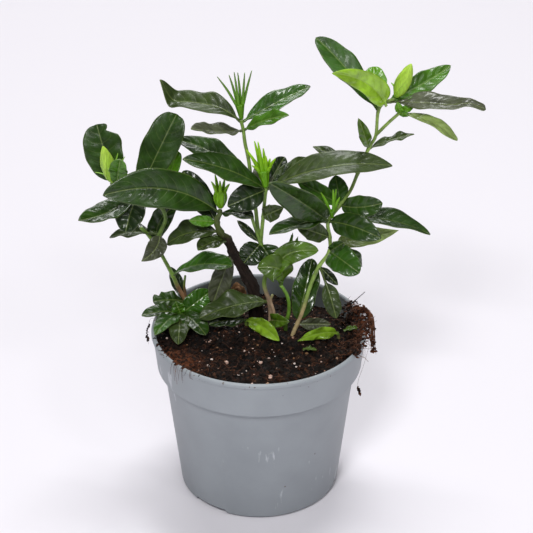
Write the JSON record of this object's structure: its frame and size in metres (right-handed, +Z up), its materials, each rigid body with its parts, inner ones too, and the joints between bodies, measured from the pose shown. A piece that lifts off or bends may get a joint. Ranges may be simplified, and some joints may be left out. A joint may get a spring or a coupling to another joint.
{
  "type": "potted gardenia",
  "caption": "Young gardenia shrub with glossy leaves, green buds and lobed calyxes, standing in peat in a thin tapered nursery pot.",
  "frame": {"origin": "centre of the flat pad in the middle of the pot's underside, in the plane of its foot ring", "axes": "+Z up the pot's axis, -Y towards the front, from which the plant is usually seen, +X to the right"},
  "size_m": [0.2335, 0.13, 0.2745],
  "materials": {
    "pot_plastic": "grey-blue moulded plastic, satin",
    "peat": "moist dark brown peat with pale perlite",
    "roots": "reddish brown fibrous roots and peat",
    "leaf": "dark green glossy leaves on green and brown stems",
    "young_leaf": "bright green soft young leaves",
    "calyx": "bright yellow-green calyx lobes",
    "bud": "pale yellow-green furled buds"
  },
  "bodies": {
    "root": {"pot": "pot_plastic", "soil": "peat", "root_clump": "roots", "shoot_left": "leaf", "shoot_trunk": "leaf", "shoot_tall": "leaf", "shoot_right": "leaf", "shoot_young": "young_leaf", "sprout_front": "young_leaf", "sprout_right": "young_leaf", "rosette": "leaf", "young_leaf_top": "young_leaf", "young_leaf_back": "young_leaf", "young_leaf_left": "young_leaf", "calyx_top": "calyx", "calyx_centre": "calyx", "calyx_left": "calyx", "calyx_low": "calyx", "calyx_right": "calyx", "bud_left": "bud", "bud_right": "bud"}
  },
  "joints": []
}
